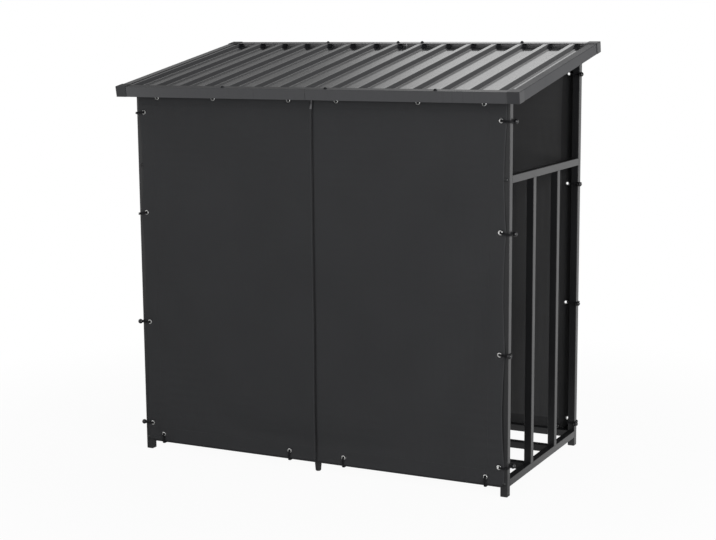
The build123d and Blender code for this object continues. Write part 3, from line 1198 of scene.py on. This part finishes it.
class LOGSTORE_OT_eyelets(bpy.types.Operator):
    """Set a plated eyelet in each hole of the covers"""

    bl_idname = "logstore.eyelets"
    bl_label = "Eyelets"

    def execute(self, context):
        sizes = context.scene.log_store_fittings
        for side in ("front", "rear"):
            cover = hung(side)
            forms = Forms()
            profile = self.profile(sizes, cover.sizes.hem_thickness)
            for x, z, _ in cover.eyelets:
                point, out = cover.at(x, z)
                forms.revolve(profile, facing(point, out), steps=28, ring=True)
            forms.piece(f"{side}_eyelet_rings", "eyelet_metal")
        return {"FINISHED"}

    def profile(self, sizes, cloth):
        """Section of an eyelet and its washer, clinched on both faces of the cloth."""
        rim = sizes.eyelet / 2
        bore = sizes.eyelet_bore / 2
        wall = bore + 0.7 * MM
        crown = sizes.eyelet_crown
        seat = 0.05 * MM
        back = -cloth - CLEARANCE
        return (
            (rim, seat),
            (rim - 0.2 * MM, 0.4 * crown),
            (rim - 1.4 * MM, 0.85 * crown),
            ((rim + bore) / 2, crown),
            (bore + 0.9 * MM, 0.85 * crown),
            (bore + 0.1 * MM, 0.4 * crown),
            (bore, 0),
            (bore, back),
            (wall, back - 0.8 * MM),
            (rim - 2 * MM, back - 0.7 * MM),
            (rim - 0.6 * MM, back - 0.3 * MM),
            (rim - 0.6 * MM, back),
            (wall, back),
            (wall, seat),
        )


class LOGSTORE_OT_ties(bpy.types.Operator):
    """Tie each eyelet to its post or rail with a loop of elastic and a ball"""

    bl_idname = "logstore.ties"
    bl_label = "Ties"

    def execute(self, context):
        sizes = context.scene.log_store_fittings
        for side in ("front", "rear"):
            cover = hung(side)
            cords = Forms()
            balls = Forms()
            for x, z, held in cover.eyelets:
                if held == "post":
                    corners, centre, out = self.round_post(cover, sizes, x, z)
                    axis = Vector((0, 0, 1))
                else:
                    corners, centre, out = self.round_rail(cover, sizes, x, z, held)
                    axis = Vector((1, 0, 0))
                for hand in (-1, 1):
                    # Two strands lie side by side, with a hair between them
                    shift = axis * (hand * sizes.cord * 0.52)
                    path = rounded([corner + shift for corner in corners], sizes.cord_bend)
                    cords.loop(path, sizes.cord / 2, sides=8)
                self.ball(balls, sizes, centre, out, axis)
            cords.piece(f"{side}_tie_loops", "elastic")
            balls.piece(f"{side}_tie_balls", "ball_plastic")
        return {"FINISHED"}

    def depths(self, cover, sizes, eyelet):
        """Where a loop runs outside the cloth and inside the tube."""
        radius = sizes.cord / 2
        outside = eyelet.y + cover.out * (sizes.eyelet_crown + radius)
        inside = cover.back - cover.out * radius
        return outside, inside

    def round_post(self, cover, sizes, x, z):
        """Corners of a loop from a side eyelet round its post, and its ball outside the loop."""
        eyelet, _ = cover.at(x, z)
        outside, inside = self.depths(cover, sizes, eyelet)
        order = min(range(len(cover.side_z)), key=lambda index: abs(cover.side_z[index] - z))
        rises, places, pull = sizes.rear_rises, sizes.rear_balls, sizes.rear_pull
        if cover.side == "front":
            rises, pull = sizes.front_rises, sizes.front_pull
            places = sizes.left_balls if x < 0 else sizes.right_balls
        start = eyelet.x + math.copysign(pull, x)
        near = math.copysign(cover.post_edges[0] - sizes.cord / 2, x)
        far = math.copysign(cover.post_edges[1] + sizes.cord / 2, x)
        height = eyelet.z + rises[order]
        corners = [
            Vector((start, outside, eyelet.z)),
            Vector((far, outside, height)),
            Vector((far, inside, height)),
            Vector((near, inside, height)),
        ]
        place = corners[1].lerp(corners[2], places[order])
        out = (place - sum(corners, Vector()) / len(corners)).normalized()
        return corners, place + out * (sizes.ball * 0.4), out

    def round_rail(self, cover, sizes, x, z, held):
        """Corners of a loop from an end eyelet round its rail, and its ball behind the eyelet."""
        eyelet, _ = cover.at(x, z)
        outside, inside = self.depths(cover, sizes, eyelet)
        if held == "rail":
            edge = cover.rail_span[1] + sizes.cord / 2
            height = cover.rail_span[0] - sizes.ball / 2
        else:
            edge = cover.base_span[0] - sizes.cord / 2
            height = cover.base_span[1] + sizes.ball / 2
        corners = [
            Vector((eyelet.x, outside, eyelet.z)),
            Vector((eyelet.x, outside, edge)),
            Vector((eyelet.x, inside, edge)),
            Vector((eyelet.x, inside, eyelet.z)),
        ]
        inward = Vector((0, -cover.out, 0))
        depth = cover.sizes.hem_thickness + sizes.eyelet_crown + sizes.ball / 2
        return corners, Vector((eyelet.x, eyelet.y, height)) + inward * depth, inward

    def ball(self, forms, sizes, centre, out, axis):
        """A ball with a blind bore for the cord, which faces the loop."""
        radius = sizes.ball / 2
        bore = sizes.cord
        mouth = math.asin(bore / radius)
        profile = [(0, radius * 0.55), (bore * 0.85, radius * 0.6)]
        steps = 14
        for step in range(steps + 1):
            turn = mouth + (math.pi - mouth) * step / steps
            profile.append((radius * math.sin(turn), radius * math.cos(turn)))
        forms.revolve(profile, facing(centre, -out, axis), steps=24)


class LOGSTORE_OT_bolts(bpy.types.Operator):
    """Put domed bolts through the posts into the ends of the end rails"""

    bl_idname = "logstore.bolts"
    bl_label = "Bolts"

    def execute(self, context):
        sizes = context.scene.log_store_fittings
        radius = sizes.bolt / 2
        crown = sizes.bolt_crown
        socket = 0.55 * crown
        mouth = math.radians(24)
        profile = [(0, socket), (radius * 0.32, socket), (radius * 0.36, 0.96 * crown)]
        steps = 6
        for step in range(steps + 1):
            turn = mouth + (math.pi / 2 - mouth) * step / steps
            profile.append((radius * math.sin(turn), crown * math.cos(turn)))
        profile += [(radius, -SUNK), (0, -SUNK)]
        forms = Forms()
        for end in ("left", "right"):
            for rail in (f"{end}_end_rail", f"{end}_base_rail"):
                low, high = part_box(rail)
                middle = (low + high) / 2
                for side, out in (("front", -1), ("rear", 1)):
                    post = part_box(f"{side}_{end}_post")
                    face = post[0].y if out < 0 else post[1].y
                    point = Vector((middle.x, face, middle.z))
                    forms.revolve(profile, facing(point, Vector((0, out, 0))), steps=20)
        forms.piece("frame_bolts", "frame_paint", "frame_paint")
        return {"FINISHED"}


class LOGSTORE_OT_roof_screws(bpy.types.Operator):
    """Screw the eave trims down to the crests of the roof sheets"""

    bl_idname = "logstore.roof_screws"
    bl_label = "Roof screws"

    def execute(self, context):
        sizes = context.scene.log_store_fittings
        slope, crests = self.crests()
        up = Vector((0, -math.sin(slope), math.cos(slope)))
        upslope = Vector((0, math.cos(slope), math.sin(slope)))
        washer = sizes.screw_washer / 2
        washer_profile = (
            (0, -SUNK),
            (washer, -SUNK),
            (washer, 0.8 * MM),
            (washer * 0.86, 1.3 * MM),
            (0, 1.5 * MM),
        )
        corner = sizes.screw / math.sqrt(3)
        flange = corner * 1.12
        crown = sizes.screw_crown
        head_profile = (
            (0, 1.0 * MM),
            (flange, 1.2 * MM),
            (flange, 1.9 * MM),
            (corner, 2.0 * MM),
            (corner, 0.9 * crown),
            (corner * 0.84, crown),
            (0, crown),
        )
        forms = Forms()
        for side in ("front", "rear"):
            low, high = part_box(f"{side}_left_trim")
            top = self.highest(f"{side}_left_trim", up)
            across = (low.y + high.y) / 2
            screwed = crests[sizes.screw_first :: sizes.screw_every]
            if side == "rear":
                screwed.append(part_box("left_roof_sheet")[1].x)
            for x in screwed:
                rise = (top - across * up.y) / up.z
                point = Vector((x, across, rise))
                place = facing(point, up, upslope)
                forms.revolve(washer_profile, place, steps=20)
                forms.revolve(head_profile, place, steps=6)
        forms.piece("roof_screws", "screw_metal", "roof_paint")
        return {"FINISHED"}

    def highest(self, node, up):
        """The height of a node's top face along the roof's own up."""
        return max(vertex.co.dot(up) for vertex in frame["nodes"][node].data.vertices)

    def crests(self):
        """The slope of the roof and the places of its crests along the store."""
        crest_depth = 0.9 * MM
        crest_gap = 30 * MM
        places = set()
        for node in ("left_roof_sheet", "right_roof_sheet"):
            slope = self.sheet_slope(node)
            up = Vector((0, -math.sin(slope), math.cos(slope)))
            points = [vertex.co for vertex in frame["nodes"][node].data.vertices]
            top = max(point.dot(up) for point in points)
            places |= {round(point.x, 4) for point in points if top - point.dot(up) < crest_depth}
        crests = []
        for place in sorted(places):
            if crests and place - crests[-1][-1] < crest_gap:
                crests[-1].append(place)
            else:
                crests.append([place])
        return slope, [(group[0] + group[-1]) / 2 for group in crests]

    def sheet_slope(self, node):
        """The slope of a sheet, from its lowest and highest points on one line of it."""
        line_width = 0.05 * MM
        points = [vertex.co for vertex in frame["nodes"][node].data.vertices]
        first = min(points, key=lambda point: point.y)
        line = [point for point in points if abs(point.x - first.x) < line_width]
        last = max(line, key=lambda point: point.y)
        return math.atan2(last.z - first.z, last.y - first.y)


class LOGSTORE_OT_stage(bpy.types.Operator):
    """Set the floor, the studio light and the camera"""

    bl_idname = "logstore.stage"
    bl_label = "Stage"

    def execute(self, context):
        settings = context.scene.log_store_stage
        context.scene.view_settings.view_transform = "Standard"
        self.floor(settings)
        self.studio(context.scene, settings)
        self.lamp("key", settings.key, settings.key_place, settings.key_size)
        fill = self.lamp("fill", settings.fill, settings.fill_place, settings.soft_size)
        back = self.lamp("back", settings.back, settings.back_place, settings.soft_size)
        for lamp in (fill, back):
            lamp.visible_glossy = False
        self.camera(context.scene, settings)
        return {"FINISHED"}

    def floor(self, settings):
        """A pale floor that clears to white away from the store and keeps its shadow."""
        sides = 96
        finish = Finish("floor")
        across, along, _ = finish.axes()
        away_squared = across * across + along * along
        edge = settings.floor_reach
        clear = finish.ramp(away_squared, low=0.5, high=0.8 * edge * edge) * (1 - settings.floor_white)
        clear = clear + settings.floor_white
        finish.set(base_color=(*settings.floor_grey, 1), roughness=0.9)
        eye = finish.node("ShaderNodeLightPath", output="Is Camera Ray")
        glossy = finish.node("ShaderNodeLightPath", output="Is Glossy Ray")
        # To glossy paint the floor is dark in front of the store and white behind it
        seen = eye + glossy * finish.ramp(along, low=-0.6, high=0.4)
        glow = finish.node("ShaderNodeEmission", sockets={"Color": (1, 1, 1, 1), "Strength": 1.0})
        surface = Term(finish, finish.surface.outputs[0])
        blend = finish.node("ShaderNodeMixShader", sockets={0: seen * clear, 1: surface, 2: glow})
        end = finish.tree.nodes["Material Output"]
        finish.feed(end.inputs["Surface"], blend)
        mesh = bpy.data.meshes.new("floor")
        turns = [2 * math.pi * step / sides for step in range(sides)]
        rim = [(edge * math.cos(turn), edge * math.sin(turn), 0) for turn in turns]
        mesh.from_pydata(rim, [], [range(len(rim))])
        mesh.materials.append(finish.material)
        floor = bpy.data.objects.new("floor", mesh)
        floor.location.z = -0.3 * MM
        bpy.context.scene.collection.objects.link(floor)

    def studio(self, scene, settings):
        """White to the eye, shaded and carded to glossy paint, and dim to all else.

        Glossy paint sees it darker behind on the left, overhead on the right and low down in front,
        and brighter at two cards, in front on the left and low down behind on the right.
        """
        edges = STUDIO_EDGES
        world = bpy.data.worlds.new("studio")
        world.use_nodes = True
        scene.world = world
        shader = Shader(world.node_tree)
        across, along, up = shader.axes("Generated")
        rightward = across * math.cos(STUDIO_TURN) - along * math.sin(STUDIO_TURN)
        left = 1 - shader.ramp(rightward, *edges["left"])
        behind = shader.ramp(along, *edges["behind"])
        shade = 1 - left * behind * (1 - settings.dark_side)
        overhead = shader.ramp(across, *edges["overhead_right"]) * shader.ramp(up, *edges["overhead"])
        shade = shade * (1 - overhead * (1 - settings.dark_top))
        front = 1 - shader.ramp(along, *edges["front"])
        low = (1 - shader.ramp(up, *edges["low_head"])) * shader.ramp(up, *edges["low_foot"])
        shade = shade * (1 - front * low * (1 - settings.dark_front))
        left_card = front * (1 - shader.ramp(across, *edges["left_card"]))
        shade = shade + left_card * settings.left_card
        below = 1 - shader.ramp(up, *edges["right_card_head"])
        right_card = shader.ramp(across, *edges["right_card"]) * behind * below
        shade = shade + right_card * settings.right_card
        glossy = shader.node("ShaderNodeLightPath", output="Is Glossy Ray")
        eye = shader.node("ShaderNodeLightPath", output="Is Camera Ray")
        through = shader.node("ShaderNodeLightPath", output="Is Transmission Ray")
        seen = eye + through + glossy * shade
        dim = (1 - eye) * (1 - through) * (1 - glossy) * settings.ambient
        background = world.node_tree.nodes["Background"]
        background.inputs["Color"].default_value = (1, 1, 1, 1)
        shader.feed(background.inputs["Strength"], seen + dim)

    def lamp(self, name, power, place, size):
        """A soft box that points at the middle of the store."""
        light = bpy.data.lights.new(name, "AREA")
        light.shape = "RECTANGLE"
        light.size, light.size_y = size
        light.energy = power
        lamp = bpy.data.objects.new(name, light)
        lamp.location = place
        aim = (Vector(CAD_BOX[0]) + Vector(CAD_BOX[1])) / 2 - Vector(place)
        lamp.rotation_euler = aim.to_track_quat("-Z", "Y").to_euler()
        lamp.visible_camera = False
        bpy.context.scene.collection.objects.link(lamp)
        return lamp

    def camera(self, scene, settings):
        """The photograph's view."""
        lens = bpy.data.cameras.new("camera")
        lens.lens = settings.lens
        camera = bpy.data.objects.new("camera", lens)
        upright = Matrix.Rotation(math.pi / 2 - settings.tilt, 4, "X")
        turned = Matrix.Rotation(settings.pan, 4, "Z") @ upright
        rolled = turned @ Matrix.Rotation(settings.roll, 4, "Z")
        camera.matrix_world = Matrix.Translation(settings.camera_place) @ rolled
        scene.collection.objects.link(camera)
        scene.camera = camera


OPERATORS = (
    LOGSTORE_OT_finishes,
    LOGSTORE_OT_covers,
    LOGSTORE_OT_zip,
    LOGSTORE_OT_eyelets,
    LOGSTORE_OT_ties,
    LOGSTORE_OT_bolts,
    LOGSTORE_OT_roof_screws,
    LOGSTORE_OT_stage,
)
SETTINGS = {
    "log_store_cover": CoverSizes,
    "log_store_stitches": StitchSizes,
    "log_store_zip": ZipSizes,
    "log_store_fittings": FittingSizes,
    "log_store_colours": FinishColours,
    "log_store_stage": StageSettings,
}


class LOGSTORE_PT_panel(bpy.types.Panel):
    """Sizes, colours and steps of the log store's finish"""

    bl_label = "Log store"
    bl_idname = "LOGSTORE_PT_panel"
    bl_space_type = "VIEW_3D"
    bl_region_type = "UI"
    bl_category = "Log store"

    def draw(self, context):
        for name, group in SETTINGS.items():
            box = self.layout.box()
            box.label(text=group.__doc__)
            for key in group.__annotations__:
                box.prop(getattr(context.scene, name), key)
        for operator in OPERATORS:
            self.layout.operator(operator.bl_idname)


def register():
    for name, group in SETTINGS.items():
        bpy.utils.register_class(group)
        setattr(bpy.types.Scene, name, PointerProperty(type=group))
    for operator in OPERATORS:
        bpy.utils.register_class(operator)
    bpy.utils.register_class(LOGSTORE_PT_panel)


def unregister():
    bpy.utils.unregister_class(LOGSTORE_PT_panel)
    for operator in reversed(OPERATORS):
        bpy.utils.unregister_class(operator)
    for name, group in SETTINGS.items():
        delattr(bpy.types.Scene, name)
        bpy.utils.unregister_class(group)


def main():
    """Register the add-on and run its steps in order."""
    register()
    for operator in OPERATORS:
        family, step = operator.bl_idname.split(".")
        getattr(getattr(bpy.ops, family), step)()


if __name__ == "__main__":
    main()
